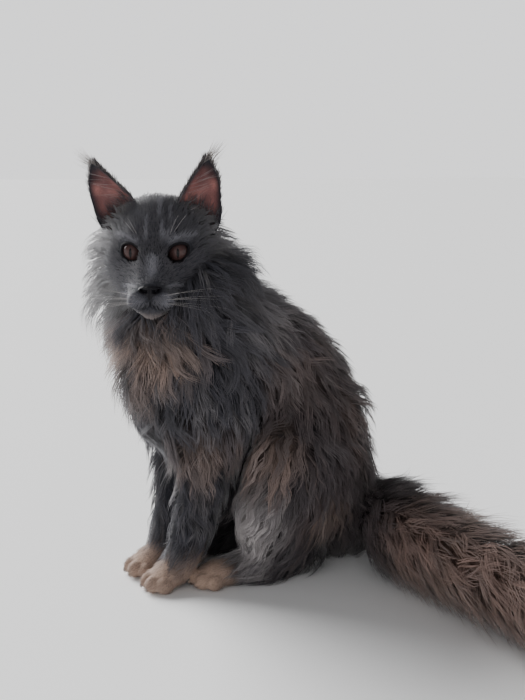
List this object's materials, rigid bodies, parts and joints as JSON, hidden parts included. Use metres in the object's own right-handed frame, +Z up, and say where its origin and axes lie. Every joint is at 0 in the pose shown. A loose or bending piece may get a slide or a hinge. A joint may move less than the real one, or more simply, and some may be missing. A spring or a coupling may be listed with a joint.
{
  "type": "seated long-haired cat model",
  "caption": "Still, life-size model of a young long-haired tufted cat, sitting upright with its head turned and its bushy tail laid out to the side.",
  "frame": {"origin": "middle of the flat of the rump, on the floor", "axes": "+Z up, the cat faces -Y, its left side and its tail are towards +X"},
  "size_m": [0.4896, 0.3221, 0.4139],
  "materials": {
    "coat_dark": "soft long blue-grey fur",
    "coat_fawn": "soft wavy fur, grey mottled with fawn and cream",
    "coat_tail": "bushy grey-brown fur, banded with fawn",
    "coat_paw": "short cream fur",
    "ear_skin": "thin bare skin inside, short grey fur outside",
    "eye": "glossy, dull copper iris with a slit pupil",
    "nose_leather": "damp charcoal leather"
  },
  "bodies": {
    "root": {"head": "coat_dark", "ear_left": "ear_skin", "ear_right": "ear_skin", "eye_left": "eye", "eye_right": "eye", "nose": "nose_leather", "neck": "coat_fawn", "chest": "coat_dark", "loin": "coat_dark", "rump": "coat_fawn", "foreleg_left": "coat_dark", "foreleg_right": "coat_dark", "forepaw_left": "coat_paw", "forepaw_right": "coat_paw", "haunch_left": "coat_fawn", "haunch_right": "coat_fawn", "hindpaw_left": "coat_paw", "hindpaw_right": "coat_paw", "tail_base": "coat_tail", "tail_middle": "coat_tail", "tail_tip": "coat_tail"}
  },
  "joints": []
}
